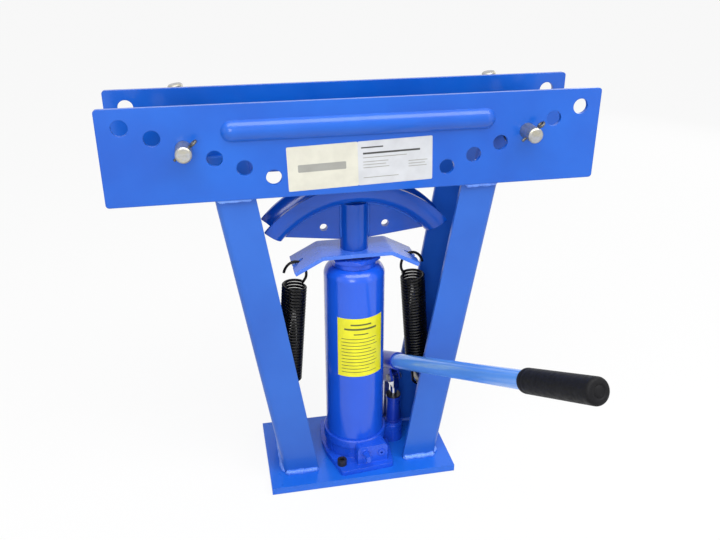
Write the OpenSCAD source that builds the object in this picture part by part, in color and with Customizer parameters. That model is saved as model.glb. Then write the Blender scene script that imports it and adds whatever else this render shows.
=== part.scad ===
// Bench hydraulic pipe bender: a welded frame, a bottle jack with a lever pump, a bending die,
// two pinned rollers and two return springs. Millimetres, +Z up, +X along the beams, the operator
// stands on the -Y side. The origin is the centre of the base plate's underside.

/* [Base plate] */
// Length of the base plate along X
base_l = 254; // [240:1:300]
// Depth of the base plate along Y
base_w = 150; // [140:1:200]
// Thickness of the base plate
base_t = 10; // [6:0.5:16]

/* [Beam plates] */
// Length of each beam plate
beam_l = 580; // [560:1:700]
// Height of each beam plate
beam_h = 110; // [106:1:130]
// Thickness of each beam plate
beam_t = 5; // [4:0.5:6]
// Clear gap between the two beam plates
beam_gap = 94; // [80:1:100]
// Height of the beam plates' top edge above the ground
beam_top = 522; // [515:1:560]
// Corner radius of the beam plates
beam_corner_r = 4; // [1:0.5:8]
// Length of the pressed stiffening rib
rib_l = 318; // [200:1:340]
// Height of the rib where it leaves the plate
rib_h = 24; // [18:1:28]
// How far the rib stands out of the plate
rib_proud = 7; // [4:0.5:8]
// Distance of the rib's centre below the top edge
rib_drop = 30; // [26:0.5:34]

/* [Pin holes] */
// Number of holes on each side
hole_n = 6; // [3:1:6]
// Distance of the outermost hole from the centre
hole_x = 265; // [255:0.5:275]
// Depth of the outermost hole below the top edge
hole_drop = 21; // [18:0.5:24]
// Step from one hole to the next along X
hole_dx = 32.5; // [31:0.5:34]
// Step from one hole to the next down Z
hole_dz = 12.9; // [12:0.1:13.5]

/* [Legs] */
// Width of a leg's flange, measured square to the leg
leg_w = 46.8; // [42:0.2:47.2]
// Sheet thickness of the legs
leg_t = 5; // [4:0.5:6]
// Outside bend radius of the channel
leg_bend_r = 7; // [6.5:0.5:10]
// Distance of a leg's outer face from the centre, at the base plate
leg_foot_x = 107; // [106.5:0.5:112]
// Distance of a leg's outer face from the centre, at the beams' lower edge
leg_head_x = 171.5; // [170.5:0.5:176]
// How far the flanges run up behind the beam plates
leg_lap = 25; // [18:1:27]
// Distance of the web's upper end below the beams' lower edge, which leaves the pipe room
leg_web_drop = 12; // [10:1:30]

/* [Roller pins] */
// Diameter of the roller pins
pin_d = 18; // [16:0.5:19]
// Which hole the pins stand in, counted from the outermost
pin_hole = 3; // [2:1:4]
// How far a pin stands out in front of the beam plate
pin_front = 27; // [24:0.5:34]
// Straight length of a pin behind the rear plate, before its bend
pin_rear = 2; // [1:0.5:6]
// Centreline radius of the pin's bend
pin_bend_r = 18; // [14:0.5:22]
// Height of the bent handle's top above the pin's axis
pin_handle_h = 47; // [40:0.5:60]
// Lean of the bent handles towards -X, in degrees
pin_lean = 8; // [0:1:15]
// Chamfer on the pins' ends
pin_chamfer = 1.5; // [0.5:0.1:2.5]

/* [Cotters] */
// Wire diameter of the cotters
cotter_d = 3.2; // [2.4:0.1:4]
// Distance of the cotter's hole from the pin's front end
cotter_inset = 14; // [10:0.5:18]
// Mean radius of the cotter's eye
cotter_eye_r = 3.6; // [3.2:0.1:5]
// Length of the cotter's legs past the pin's far side
cotter_tail = 5; // [3:0.5:9]
// Angle of the cotters above the horizontal, in degrees
cotter_angle = 40; // [20:1:60]

/* [Rollers] */
// Largest radius of a roller, at its ends
roller_r = 25.5; // [24:0.5:25.5]
// Smallest radius of a roller, in its groove
roller_waist_r = 19; // [15:0.5:21]
// Width of the plain land at each end of a roller
roller_land = 9; // [6:0.5:14]
// Clearance of a roller to each beam plate
roller_side_gap = 1; // [0.5:0.5:3]

/* [Jack body] */
// Turn of the jack on the base plate, in degrees
jack_turn = 5.5; // [0:0.5:8]
// Outside diameter of the oil tank
tank_d = 80; // [76:0.5:81]
// Wall of the oil tank
tank_wall = 3; // [2:0.5:4]
// Height of the tank's top above the ground
tank_top = 299; // [290:1:302]
// Radius of the tank's rounded shoulder
tank_shoulder_r = 14; // [9:0.5:15]
// Outside diameter of the pressure cylinder inside the tank
cyl_d = 46; // [44:0.5:48]
// Bore of the pressure cylinder
cyl_bore = 38; // [36:0.5:39]
// Diameter of the round collar under the top nut's hexagon
nut_collar_d = 59; // [55:0.5:59]
// Height of that collar
nut_collar_h = 6.5; // [4:0.5:8]
// Width across the flats of the hexagon
nut_af = 60; // [57:0.5:63]
// Height of the hexagon
nut_h = 6; // [5:0.5:9]
// Thickness of the black wiper ring in the top nut
wiper_t = 3; // [2:0.5:4]

/* [Jack casting] */
// Thickness of the foot flange
foot_t = 7; // [5:0.5:9]
// Half width of the foot at its front and rear edges
foot_end_half = 37.5; // [36:0.5:40]
// Half width of the foot beside the tank
foot_side_half = 46; // [45:0.5:48]
// Distance of the foot's front edge from the jack's axis
foot_front = 65; // [60:0.5:67]
// Distance of the foot's rear edge from the jack's axis
foot_rear = 60; // [56:0.5:64]
// Corner radius of the foot
foot_r = 5; // [2:0.5:8]
// Outside diameter of the casting's lower body
collar_body_d = 84; // [82:0.5:85]
// Outside diameter of the ring that holds the tank
collar_ring_d = 88; // [86:0.5:90]
// Height of the ring's top above the foot's underside
collar_h = 36; // [34:0.5:40]
// Height of the ring itself
collar_ring_h = 12; // [8:0.5:14]
// Depth of the tank's seat in the ring
tank_seat = 6; // [4:0.5:8]
// Height of the pressure cylinder's seat above the foot's underside
cyl_seat_h = 14; // [12:0.5:18]
// Width of the valve block
block_w = 43; // [38:0.5:46]
// Offset of the valve block's centre from the jack's axis
block_x = 9.5; // [6:0.5:12]
// Distance of the valve block's face from the jack's axis
block_front = 56; // [54:0.5:58]
// Height of the valve block's top above the foot's underside
block_h = 34; // [32:0.5:36]
// Corner radius of the valve block
block_r = 6; // [3:0.5:8]

/* [Valves and screws] */
// Diameter of the release valve's stem
release_d = 9; // [8:0.5:10]
// How far the release valve stands out of the block
release_out = 15; // [12:0.5:20]
// Depth of the release valve in the block
release_in = 14; // [10:0.5:16]
// Position of the release valve along the block
release_x = -1; // [-3:0.5:2]
// Height of the release valve above the foot's underside
release_z = 24; // [22:0.5:26]
// Diameter of the safety valve's plug
safety_d = 10; // [8:0.5:11]
// Position of the safety valve along the block
safety_x = 22; // [20:0.5:23]
// Height of the safety valve above the foot's underside
safety_z = 21; // [18:0.5:24]
// Diameter of the foot's bolts
bolt_d = 8; // [6:0.5:8]
// Distance of the foot's bolts from the jack's axis along X
bolt_x = 32.5; // [31:0.5:33]
// Distance of the foot's bolts from the jack's axis along Y
bolt_y = 48; // [47:0.5:50]
// Diameter of the filler plug
filler_d = 9; // [8:0.5:11]
// Height of the filler plug above the ground
filler_z = 262; // [240:1:264]
// Bearing of the filler plug round the tank, in degrees
filler_bearing = 125; // [100:1:160]

/* [Ram] */
// Diameter of the ram
ram_d = 30; // [28:0.5:32]
// Diameter of the spigot on the ram's top
spigot_d = 22; // [20:0.5:24]
// Height of the spigot above the bracket
spigot_h = 40; // [30:1:44]
// Height of the ram's shoulder above the top nut
ram_rise = 4.5; // [3:0.5:8]
// Height of the ram's piston
piston_h = 18; // [14:0.5:20]
// Height of the rubber seal on the ram's piston
ram_seal_h = 5; // [3:0.5:6]

/* [Pump] */
// Distance of the pump's axis from the jack's axis
pump_x = 57.8; // [57.2:0.1:58]
// Bearing of the lever's plane from +X, in degrees
lever_bearing = -76.5; // [-80:0.5:-76.5]
// Diameter of the pump's pedestal
pedestal_d = 27; // [24:0.5:28]
// Height of the pedestal above the foot's underside
pedestal_h = 30; // [28:0.5:32]
// Outside diameter of the pump cylinder
pump_d = 19; // [18:0.5:20]
// Diameter of the pump cylinder's foot in the pedestal
pump_foot_d = 16; // [14:0.5:17]
// Depth of the pump cylinder's foot in the pedestal
pump_foot_h = 24; // [22:0.5:25]
// Height of the pump cylinder above the pedestal
pump_h = 40; // [36:0.5:44]
// Diameter of the pump's piston
pump_piston_d = 10; // [8:0.5:12]
// Height of the black gland on the pump cylinder
gland_h = 5; // [4:0.5:6]
// Length of bright piston above the gland
piston_show = 14; // [12:0.5:18]
// Radius of the piston's eye
eye_r = 8; // [7:0.1:8.4]
// Thickness of the piston's eye and of the link
eye_t = 8; // [6:0.5:9]

/* [Lever] */
// Angle of the handle above the horizontal in the photographed pose
lever_angle = 25.3; // [24:0.1:30]
// Diameter of the lever's three pins
lever_pin_d = 7; // [6:0.5:7]
// Height of the piston's pin above the eye's foot
eye_pin_h = 14; // [13.5:0.5:16]
// Distance from the piston's pin to the link's pin along the lever
link_back = 28.3; // [26:0.1:30]
// Height of the link's pin above the piston's pin, square to the lever
link_up = 1; // [0:0.1:2]
// Height of the link's lower pin above the foot's underside
link_foot_z = 18; // [16:0.5:20]
// Radius of the link's ends
link_end_r = 8; // [7.5:0.1:8.4]
// Width of the link's middle
link_w = 12; // [9:0.5:14]
// Radius of the cheeks' ends round the pins
cheek_r = 6.5; // [6:0.1:7]
// Thickness of the lever's two cheeks
cheek_t = 3; // [2:0.5:4]
// Side clearance between the cheeks and what they hold
cheek_gap = 0.3; // [0.2:0.05:0.5]
// Height of the socket's axis above the piston's pin, square to the lever
socket_up = 24.1; // [23.5:0.1:25]
// Outside diameter of the handle's socket
socket_d = 25; // [24.4:0.2:25.2]
// Distance of the socket's mouth beyond the piston's pin
socket_mouth = 25; // [20:0.5:30]
// Length of the socket
socket_l = 54; // [50:0.5:60]
// Thickness of the socket's rear wall
socket_end_t = 5; // [4:0.5:8]

/* [Handle] */
// Outside diameter of the handle's tube
handle_d = 21; // [20:0.2:21]
// Wall of the handle's tube
handle_wall = 2; // [1.5:0.1:3]
// Distance of the grip's end beyond the piston's pin
handle_reach = 444; // [380:1:480]
// Length of the rubber grip
grip_l = 112; // [90:1:140]
// Outside diameter of the rubber grip
grip_d = 27; // [26:0.2:30]
// Thickness of the grip's closed end
grip_end_t = 5; // [3:0.5:8]
// Edge radius of the grip
grip_edge_r = 3.5; // [2:0.1:4]

/* [Bending die] */
// Radius of the die's lips about the centre of the bend
die_lip_r = 150; // [146:0.5:154]
// Bore radius of the groove, for a 42 mm pipe
groove_r = 21.5; // [17:0.5:22]
// Wall of the groove
groove_wall = 4.5; // [3.5:0.5:6]
// Straight part of the groove's side walls
groove_side = 4; // [2:0.5:8]
// Half of the angle that the die covers, in degrees
die_half_angle = 50; // [44:0.5:52]
// Thickness of the die's web
web_t = 8; // [6:0.5:12]
// Height of the die's lips above its socket's foot
die_h = 90.6; // [86:0.2:96]
// Height of the web's lower edge beside the socket
web_in_h = 13; // [10:0.5:16]
// Height of the web's lower edge at its outer ends
web_out_h = 21; // [18:0.5:24]
// Distance of the web's outer ends from the centre
web_out_x = 86; // [80:0.5:88]
// Diameter of the two holes in the web
web_hole_d = 9.6; // [8:0.2:11]
// Distance of the web's holes from the centre
web_hole_x = 39.5; // [36:0.5:44]
// Height of the web's holes above the socket's foot
web_hole_h = 30.5; // [28:0.5:34]
// Outside diameter of the die's socket
die_socket_d = 36; // [34:0.5:38]

/* [Spring bracket] */
// Thickness of the bracket
bracket_t = 5; // [4:0.5:6]
// Width of the bracket along Y
bracket_w = 54; // [44:1:60]
// Half length of the bracket's flat middle
bracket_flat = 45; // [42:0.5:48]
// Distance of the bracket's ends from the centre
bracket_end = 81; // [79:0.5:83]
// Drop of the bent ends
bracket_drop = 19; // [16:0.5:21]
// Outer radius of the bends
bracket_bend_r = 12; // [8:0.5:16]
// Width of the slots for the spring hooks
notch_w = 5; // [4.6:0.1:7]
// Distance of a slot's outer end from the bracket's end, which leaves a lip for the hook
notch_lip = 4.5; // [4:0.1:4.8]

/* [Springs] */
// Wire diameter
wire_d = 3.6; // [2.6:0.05:3.8]
// Mean radius of the coils, and half the width of the upper hooks
coil_r = 14.7; // [13:0.1:15.2]
// Clear gap between neighbouring coils
coil_gap = 0.7; // [0.4:0.05:1.5]
// Height of the upper hook above its centre
hook_top_h = 18.7; // [16:0.1:20]
// Depth of the upper hook below its centre, where it curves in to the coils
hook_top_depth = 13.4; // [11:0.1:15]
// Mean radius of the lower hook
hook_low_r = 8; // [7:0.5:10]
// Distance of the lower hook's centre from the middle plane
hook_low_x = 92; // [90.5:0.1:93]
// Height of the lower hook's centre above the ground
hook_low_z = 110; // [104:0.5:114]
// Distance from the upper hook's centre to the end of the coils
neck_top = 13.5; // [12:0.5:18]
// Distance from the lower hook's centre to the end of the coils
neck_low = 22; // [16:0.5:26]
// Diameter of the cross rods that hold the lower hooks
rod_d = 8; // [6:0.5:10]

/* [Fits] */
// Radial clearance of the running fits
fit = 0.08; // [0.04:0.01:0.1]
// Clearance between a hook and what it hangs on
seat_gap = 0.3; // [0.2:0.05:0.5]

/* [Hidden] */

$fn = 64;
far = 1000;
eps = 0.01;

// Heights that follow from the driving sizes
beam_bottom = beam_top - beam_h;
hole_r = pin_d / 2 + fit;
pin_x = hole_x - (pin_hole - 1) * hole_dx;
pin_z = beam_top - hole_drop - (pin_hole - 1) * hole_dz;
beam_out = beam_gap / 2 + beam_t;
leg_tilt = atan((leg_head_x - leg_foot_x) / (beam_bottom - base_t));
rib_r = (rib_h * rib_h / 4 + rib_proud * rib_proud) / (2 * rib_proud);
collar_top = base_t + collar_h;
tank_foot = collar_top - tank_seat;
nut_top = tank_top + nut_collar_h + nut_h;
ram_shoulder = nut_top + ram_rise;
bracket_top = ram_shoulder + bracket_t;
die_foot = bracket_top;
bend_z = die_foot + die_h - die_lip_r;
groove_c = die_lip_r - groove_side;
groove_out = groove_r + groove_wall;
pedestal_top = base_t + pedestal_h;
pump_top = pedestal_top + pump_h;
eye_foot = pump_top + gland_h + piston_show;
lever_z = eye_foot + eye_pin_h;
link_pin_u = -link_back * cos(lever_angle) - link_up * sin(lever_angle);
link_pin_z = lever_z - link_back * sin(lever_angle) + link_up * cos(lever_angle);
link_foot_u = link_pin_u - 2;
cheek_out = eye_t / 2 + cheek_gap + cheek_t;
socket_bore_r = handle_d / 2 + fit;
clip_t = 1.2;
ear_half = eye_t / 2 + cheek_gap;
ear_t = 4.5;
pin_head_t = 2;
pin_head_r = lever_pin_d / 2 + 1.8;
bracket_slope = atan(bracket_drop / (bracket_end - bracket_flat));
lip_x = bracket_end - notch_lip * cos(bracket_slope);
lip_z = bracket_top - bracket_drop + notch_lip * sin(bracket_slope);
hook_top_x = lip_x + 0.5;
hook_top_z = lip_z + seat_gap + wire_d / 2 - hook_top_h;

// Places one thing on each side: the second copy is mirrored
module both_sides() {
    children();
    mirror([1, 0, 0]) children();
}

// Moves what belongs to the jack to its turned place on the base plate
module jack_place() {
    translate([0, 0, base_t]) rotate([0, 0, jack_turn]) children();
}

// Moves what lies in the lever's plane: local X points along the handle, seen from above
module pump_place() {
    rotate([0, 0, jack_turn]) translate([pump_x, 0, 0]) rotate([0, 0, lever_bearing - jack_turn])
        children();
}

// Moves what turns with the handle: the origin is the piston's pin, X runs along the handle
module lever_place() {
    pump_place() translate([0, 0, lever_z]) rotate([0, -lever_angle, 0]) children();
}

// A flat plate in X and Y with round corners
module rounded_square(w, h, r) {
    square([w - 2 * r, h], center = true);
    square([w, h - 2 * r], center = true);
    for (x = [-1, 1], y = [-1, 1]) translate([x * (w / 2 - r), y * (h / 2 - r)]) circle(r);
}

// A bar between two points of the lever's plane, lying across it and centred on it
module cross_bar(r, l) {
    rotate([90, 0, 0]) cylinder(r = r, h = l, center = true);
}

// Welded frame

module base_plate() {
    color("royalblue") difference() {
        translate([-base_l / 2, -base_w / 2, 0]) cube([base_l, base_w, base_t]);
        jack_place() bolt_places() translate([0, 0, -base_t - 1])
            cylinder(r = bolt_d / 2 + fit, h = base_t + 2);
    }
}

module leg_section() {
    half = beam_gap / 2;
    inner_r = leg_bend_r - leg_t;
    difference() {
        union() {
            translate([-leg_w, -half]) square([leg_w - leg_bend_r, 2 * half]);
            translate([-leg_bend_r - eps, leg_bend_r - half])
                square([leg_bend_r + eps, 2 * (half - leg_bend_r)]);
            for (s = [-1, 1]) translate([-leg_bend_r, s * (half - leg_bend_r)]) circle(leg_bend_r);
        }
        translate([-leg_w - 1, leg_t - half])
            square([leg_w + 1 - leg_bend_r, 2 * (half - leg_t)]);
        translate([-leg_bend_r - eps, leg_bend_r - half])
            square([inner_r + eps, 2 * (half - leg_bend_r)]);
        for (s = [-1, 1]) translate([-leg_bend_r, s * (half - leg_bend_r)]) circle(inner_r);
    }
}

// A channel with its web outside, cut level at both ends; its flanges run up behind the beams
module leg() {
    top = beam_bottom + leg_lap;
    web_top = beam_bottom - leg_web_drop;
    inside = beam_gap - 2 * leg_t;
    difference() {
        translate([leg_foot_x, 0, base_t]) rotate([0, leg_tilt, 0])
            translate([0, 0, -leg_w]) linear_extrude(top + leg_w) leg_section();
        translate([-far, -far, base_t - far]) cube([2 * far, 2 * far, far]);
        translate([-far, -far, top]) cube([2 * far, 2 * far, far]);
        translate([0, -inside / 2, web_top]) cube([far, inside, far]);
    }
}

module left_leg() { color("royalblue") mirror([1, 0, 0]) leg(); }
module right_leg() { color("royalblue") leg(); }

// The rear plate of the pair; its rib is pressed outwards, towards +Y
module beam_plate() {
    mid_z = beam_top - beam_h / 2;
    rib_end = rib_l / 2 - rib_h / 2;
    rib_y = beam_out + rib_proud - rib_r;
    difference() {
        union() {
            translate([0, beam_out, mid_z]) rotate([90, 0, 0])
                linear_extrude(beam_t) rounded_square(beam_l, beam_h, beam_corner_r);
            difference() {
                rib_form(rib_r, rib_end, rib_y);
                translate([-far, -far, 0]) cube([2 * far, far + beam_out - 1, far]);
            }
        }
        rib_form(rib_r - beam_t, rib_end, rib_y);
        for (i = [0 : hole_n - 1], s = [-1, 1])
            translate([s * (hole_x - i * hole_dx), 0, beam_top - hole_drop - i * hole_dz])
                rotate([-90, 0, 0]) cylinder(r = hole_r, h = far);
    }
}

module rib_form(r, half, y) {
    translate([0, y, beam_top - rib_drop]) {
        rotate([0, 90, 0]) cylinder(r = r, h = 2 * half, center = true);
        for (s = [-1, 1]) translate([s * half, 0, 0]) sphere(r = r);
    }
}

module front_beam_plate() { color("royalblue") mirror([0, 1, 0]) beam_plate(); }
module rear_beam_plate() { color("royalblue") beam_plate(); }

// The rod lies in the bottom of the lower hook, welded between the leg's flanges
module spring_rod() {
    z = hook_low_z - hook_low_r + wire_d / 2 + rod_d / 2 + seat_gap;
    l = beam_gap - 2 * leg_t;
    color("silver") translate([hook_low_x, 0, z]) rotate([90, 0, 0])
        cylinder(r = rod_d / 2, h = l, center = true);
}

module left_spring_rod() { mirror([1, 0, 0]) spring_rod(); }
module right_spring_rod() { spring_rod(); }

// Rollers, their pins and cotters

module roller() {
    half = beam_gap / 2 - roller_side_gap;
    waist = half - roller_land;
    dip = roller_r - roller_waist_r;
    arc_r = (waist * waist + dip * dip) / (2 * dip);
    arc_c = roller_waist_r + arc_r;
    color([0.08, 0.08, 0.09]) translate([0, 0, pin_z]) rotate([90, 0, 0])
        rotate_extrude() difference() {
            translate([hole_r, -half]) square([roller_r - hole_r, 2 * half]);
            translate([arc_c, 0]) circle(arc_r, $fn = 128);
        }
}

module left_roller() { translate([-pin_x, 0, 0]) roller(); }
module right_roller() { translate([pin_x, 0, 0]) roller(); }

// A round bar through both beams, chamfered in front and bent up behind the rear beam
module roller_pin() {
    r = pin_d / 2;
    front = beam_out + pin_front;
    bend_y = beam_out + pin_rear;
    c = pin_chamfer;
    color("silver") translate([0, 0, pin_z]) difference() {
        union() {
            translate([0, -front + c, 0]) rotate([-90, 0, 0])
                cylinder(r = r, h = front - c + bend_y);
            translate([0, -front, 0]) rotate([-90, 0, 0]) cylinder(r1 = r - c, r2 = r, h = c);
            rotate([0, -pin_lean, 0]) {
                translate([0, bend_y, pin_bend_r]) rotate([0, 90, 0])
                    rotate_extrude(angle = 90) translate([pin_bend_r, 0]) circle(r);
                translate([0, bend_y + pin_bend_r, pin_bend_r]) {
                    cylinder(r = r, h = pin_handle_h - pin_bend_r - c);
                    translate([0, 0, pin_handle_h - pin_bend_r - c])
                        cylinder(r1 = r, r2 = r - c, h = c);
                }
            }
        }
        translate([0, cotter_inset - front, 0]) rotate([0, 90 - cotter_angle, 0])
            cylinder(r = cotter_d / 2 + fit, h = 2 * pin_d, center = true);
    }
}

module left_roller_pin() { translate([-pin_x, 0, 0]) roller_pin(); }
module right_roller_pin() { translate([pin_x, 0, 0]) roller_pin(); }

// A split pin: a straight pair of legs as one round bar, with an eye at its upper end
module cotter() {
    r = cotter_d / 2;
    eye = pin_d / 2 + seat_gap + cotter_eye_r + r;
    color("silver") translate([0, cotter_inset - beam_out - pin_front, pin_z])
        rotate([0, 90 - cotter_angle, 0]) {
            translate([0, 0, -pin_d / 2 - cotter_tail])
                cylinder(r = r, h = pin_d / 2 + cotter_tail + eye - cotter_eye_r);
            translate([0, 0, eye]) rotate([0, 90, 0])
                rotate_extrude() translate([cotter_eye_r, 0]) circle(r);
        }
}

module left_cotter() { translate([-pin_x, 0, 0]) cotter(); }
module right_cotter() { translate([pin_x, 0, 0]) cotter(); }

// Jack: measures below are from the foot's underside, inside jack_place

module bolt_places() {
    for (s = [-1, 1]) translate([s * bolt_x, s * bolt_y, 0]) children();
}

module foot_outline() {
    side_y = 14;
    hull() {
        for (x = [-1, 1]) {
            translate([x * (foot_end_half - foot_r), foot_r - foot_front]) circle(foot_r, $fn = 32);
            translate([x * (foot_end_half - foot_r), foot_rear - foot_r]) circle(foot_r, $fn = 32);
            translate([x * (foot_side_half - foot_r), -side_y]) circle(foot_r, $fn = 32);
            translate([x * (foot_side_half - foot_r), side_y]) circle(foot_r, $fn = 32);
        }
    }
}

// The solid casting before its bores are cut
module casting_body() {
    block_y = 26;
    linear_extrude(foot_t) foot_outline();
    cylinder(r = collar_body_d / 2, h = collar_h - collar_ring_h + eps);
    translate([0, 0, collar_h - collar_ring_h])
        cylinder(r = collar_ring_d / 2, h = collar_ring_h - 1);
    translate([0, 0, collar_h - 1])
        cylinder(r1 = collar_ring_d / 2, r2 = collar_ring_d / 2 - 1, h = 1);
    // Valve block, with round upper corners
    translate([block_x, -block_front, 0]) rotate([-90, 0, 0]) linear_extrude(block_y) {
        translate([-block_w / 2, block_r - block_h]) square([block_w, block_h - block_r]);
        translate([block_r - block_w / 2, -block_h]) square([block_w - 2 * block_r, block_h]);
        for (s = [-1, 1]) translate([s * (block_w / 2 - block_r), block_r - block_h])
            circle(block_r);
    }
    translate([release_x, -block_front - 1.5, release_z]) rotate([-90, 0, 0])
        cylinder(r = release_d / 2 + 2, h = 3);
    // Bridge to the pump's pedestal
    translate([0, -pedestal_d / 2 + 2, 0]) cube([pump_x, pedestal_d - 4, pedestal_h - 3]);
    translate([pump_x, 0, 0]) cylinder(r = pedestal_d / 2, h = pedestal_h - 3);
    translate([pump_x, 0, 0]) cylinder(r = pedestal_d / 2 - 1.5, h = pedestal_h);
}

// Two ears that hold the link's foot, in the lever's plane
module link_ears() {
    z = base_t + link_foot_z;
    for (s = [-1, 1]) translate([0, s * (ear_half + ear_t / 2), 0]) {
        translate([link_foot_u, 0, z]) cross_bar(link_end_r, ear_t);
        translate([link_foot_u - link_end_r, -ear_t / 2, base_t + 1])
            cube([2 * link_end_r, ear_t, link_foot_z - 1]);
    }
    translate([link_foot_u - link_end_r, -ear_half - ear_t, base_t + 1])
        cube([-link_foot_u + link_end_r - pedestal_d / 4, 2 * (ear_half + ear_t),
            link_foot_z - link_end_r - 2]);
}

module jack_casting() {
    color("mediumblue") difference() {
        union() {
            jack_place() casting_body();
            pump_place() link_ears();
        }
        jack_place() {
            translate([0, 0, collar_h - tank_seat]) cylinder(r = tank_d / 2 + fit, h = collar_h);
            translate([0, 0, cyl_seat_h]) cylinder(r = cyl_d / 2 + fit, h = collar_h);
            bolt_places() translate([0, 0, -1]) cylinder(r = bolt_d / 2 + fit, h = collar_h);
            translate([release_x, -block_front - 2, release_z]) rotate([-90, 0, 0])
                cylinder(r = release_d / 2 + fit, h = release_in + 2);
            translate([safety_x, -block_front - 2, safety_z]) rotate([-90, 0, 0])
                cylinder(r = safety_d / 2 + fit, h = release_in);
            translate([pump_x, 0, pedestal_h - pump_foot_h])
                cylinder(r = pump_foot_d / 2 + fit, h = collar_h);
        }
        pump_place() translate([link_foot_u, 0, base_t + link_foot_z])
            cross_bar(lever_pin_d / 2 + fit, 2 * (ear_half + ear_t + 1));
    }
}

// The outside of the tank as a turned outline; a smaller one cuts the inside
module tank_outline(r, top, shoulder) {
    square([r, top - shoulder]);
    square([r - shoulder, top]);
    translate([r - shoulder, top - shoulder]) circle(shoulder);
}

module jack_tank() {
    r = tank_d / 2;
    h = tank_top - tank_foot;
    color("royalblue") translate([0, 0, tank_foot]) rotate([0, 0, jack_turn]) difference() {
        rotate_extrude($fn = 96) difference() {
            tank_outline(r, h, tank_shoulder_r);
            translate([0, -eps]) tank_outline(r - tank_wall, h - tank_wall + eps,
                tank_shoulder_r - tank_wall);
            translate([0, -1]) square([cyl_d / 2 + fit, h + 2]);
            translate([-far, -far]) square([far, 2 * far]);
        }
        filler_axis(tank_foot) cylinder(r = filler_d / 2 + fit, h = r);
    }
}

// Points outwards through the tank's wall where the filler plug sits
module filler_axis(foot) {
    rotate([0, 0, filler_bearing]) translate([tank_d / 2 - 2 * tank_wall, 0, filler_z - foot])
        rotate([0, 90, 0]) children();
}

module filler_plug() {
    head = 2.5;
    color([0.05, 0.05, 0.05]) rotate([0, 0, jack_turn]) filler_axis(0) {
        cylinder(r = filler_d / 2, h = 2 * tank_wall);
        translate([0, 0, 2 * tank_wall]) cylinder(r1 = filler_d / 2 + 2, r2 = filler_d / 2, h = head);
    }
}

module pressure_cylinder() {
    foot = base_t + cyl_seat_h;
    color("silver") translate([0, 0, foot]) difference() {
        cylinder(r = cyl_d / 2, h = tank_top - foot);
        translate([0, 0, 4]) cylinder(r = cyl_bore / 2, h = far);
    }
}

// Hexagonal gland nut on a round collar, with a bore for the ram and a seat for the wiper
module top_nut() {
    across = nut_af / cos(30);
    chamfer = 2;
    h = nut_collar_h + nut_h;
    color("mediumblue") translate([0, 0, tank_top]) rotate([0, 0, jack_turn]) difference() {
        union() {
            cylinder(d = nut_collar_d, h = nut_collar_h + 1);
            translate([0, 0, nut_collar_h]) intersection() {
                rotate([0, 0, 30]) cylinder(d = across, h = nut_h, $fn = 6);
                rotate_extrude($fn = 96) polygon([[0, 0], [nut_af / 2 - 0.2, 0],
                    [across / 2, chamfer], [across / 2, nut_h - chamfer],
                    [nut_af / 2 - 0.2, nut_h], [0, nut_h]]);
            }
        }
        translate([0, 0, -1]) cylinder(r = ram_d / 2 + fit, h = h + 2);
        translate([0, 0, h - wiper_t]) cylinder(r = ram_d / 2 + 4 + fit, h = h);
    }
}

module ram_wiper() {
    color([0.05, 0.05, 0.05]) translate([0, 0, nut_top - wiper_t]) difference() {
        cylinder(r = ram_d / 2 + 4, h = wiper_t + 0.5);
        translate([0, 0, -1]) cylinder(r = ram_d / 2 + fit, h = wiper_t + 2);
    }
}

module jack_ram() {
    foot = base_t + cyl_seat_h + 5;
    seal_z = foot + piston_h - ram_seal_h - 4;
    color("silver") difference() {
        union() {
            translate([0, 0, foot]) cylinder(r = cyl_bore / 2 - fit, h = piston_h);
            translate([0, 0, foot]) cylinder(r = ram_d / 2, h = ram_shoulder - foot);
            cylinder_from(spigot_d / 2, ram_shoulder - 1, bracket_top + spigot_h - 2);
            translate([0, 0, bracket_top + spigot_h - 2])
                cylinder(r1 = spigot_d / 2, r2 = spigot_d / 2 - 2, h = 2);
        }
        translate([0, 0, seal_z]) difference() {
            cylinder(r = cyl_bore / 2 + 1, h = ram_seal_h);
            translate([0, 0, -1]) cylinder(r = ram_d / 2, h = ram_seal_h + 2);
        }
    }
}

// A cylinder between two heights
module cylinder_from(r, low, high) {
    translate([0, 0, low]) cylinder(r = r, h = high - low);
}

module ram_seal() {
    foot = base_t + cyl_seat_h + 5;
    seal_z = foot + piston_h - ram_seal_h - 4;
    color([0.05, 0.05, 0.05]) translate([0, 0, seal_z]) difference() {
        cylinder(r = cyl_bore / 2 - fit, h = ram_seal_h);
        translate([0, 0, -1]) cylinder(r = ram_d / 2, h = ram_seal_h + 2);
    }
}

// Socket-head bolts that hold the jack's foot on the base plate
module foot_bolts() {
    head_r = bolt_d * 0.81;
    color([0.06, 0.06, 0.06]) jack_place() bolt_places() difference() {
        union() {
            cylinder_from(bolt_d / 2, -base_t + 1, foot_t + 1);
            cylinder_from(head_r, foot_t, foot_t + bolt_d);
        }
        translate([0, 0, foot_t + bolt_d / 2]) cylinder(r = bolt_d * 0.43, h = bolt_d, $fn = 6);
    }
}

// A stem with two flats at its outer end for the slot in the handle
module release_valve() {
    r = release_d / 2;
    color("mediumblue") jack_place()
        translate([release_x, release_in - block_front - 0.5, release_z]) rotate([90, 0, 0])
            difference() {
                cylinder(r = r, h = release_in + release_out);
                for (s = [-1, 1]) translate([s * (r + 0.6) - 2, -far, release_in + release_out - 8])
                    cube([4, 2 * far, far]);
            }
}

module safety_valve_plug() {
    color("mediumblue") jack_place() translate([safety_x, release_in - 3 - block_front, safety_z])
        rotate([90, 0, 0]) difference() {
            cylinder(r = safety_d / 2, h = release_in - 1.5);
            translate([0, 0, release_in - 5]) cylinder(r = 2, h = 5, $fn = 6);
        }
}

// Pump: measures below are from the ground, inside pump_place

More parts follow.
